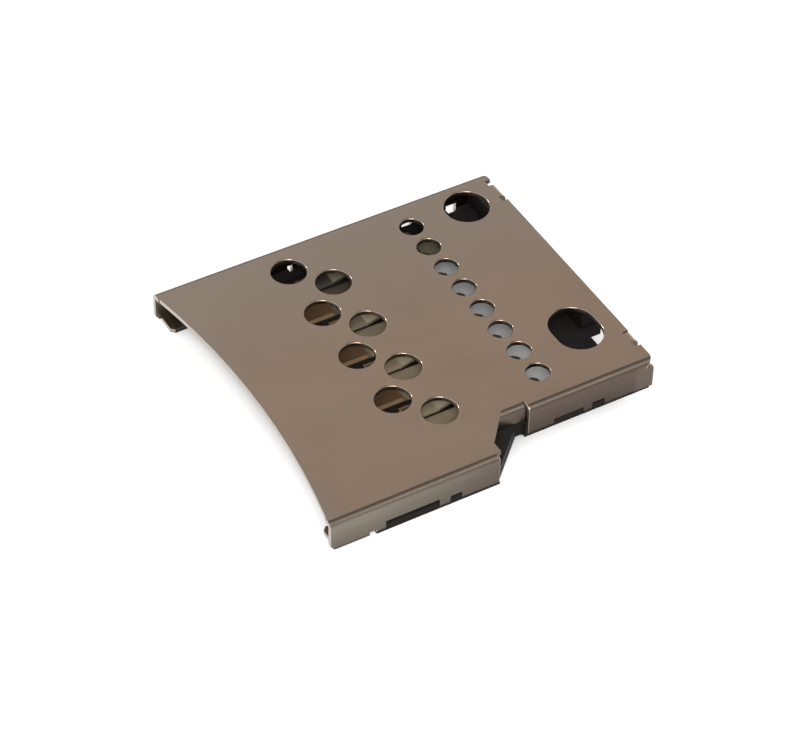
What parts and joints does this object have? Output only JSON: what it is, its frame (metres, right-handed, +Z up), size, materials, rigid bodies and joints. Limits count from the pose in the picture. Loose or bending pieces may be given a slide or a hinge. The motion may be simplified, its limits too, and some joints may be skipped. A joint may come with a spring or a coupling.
{
  "type": "memory card connector",
  "caption": "Low-profile push-in memory card connector: folded metal shell with a stepped side and inspection windows over a moulded base with spring contacts.",
  "frame": {"origin": "centre of the footprint, on the plane shared by the feet and the solder tails", "axes": "+X towards the side with the step, +Y the way the card goes in, +Z up out of the circuit board"},
  "size_m": [0.0116, 0.0122, 0.0012],
  "materials": {
    "shell": "satin, warm grey rolled strip",
    "housing": "moulded black, fine grain",
    "contact": "gold flash over copper alloy strip",
    "switch": "dull plated copper alloy strip"
  },
  "bodies": {
    "root": {"shell": "shell", "housing": "housing", "contact_1": "contact", "contact_2": "contact", "contact_3": "contact", "contact_4": "contact", "contact_5": "contact", "contact_6": "contact", "contact_7": "contact", "contact_8": "contact", "detect_spring": "switch", "detect_terminal": "switch"}
  },
  "joints": []
}
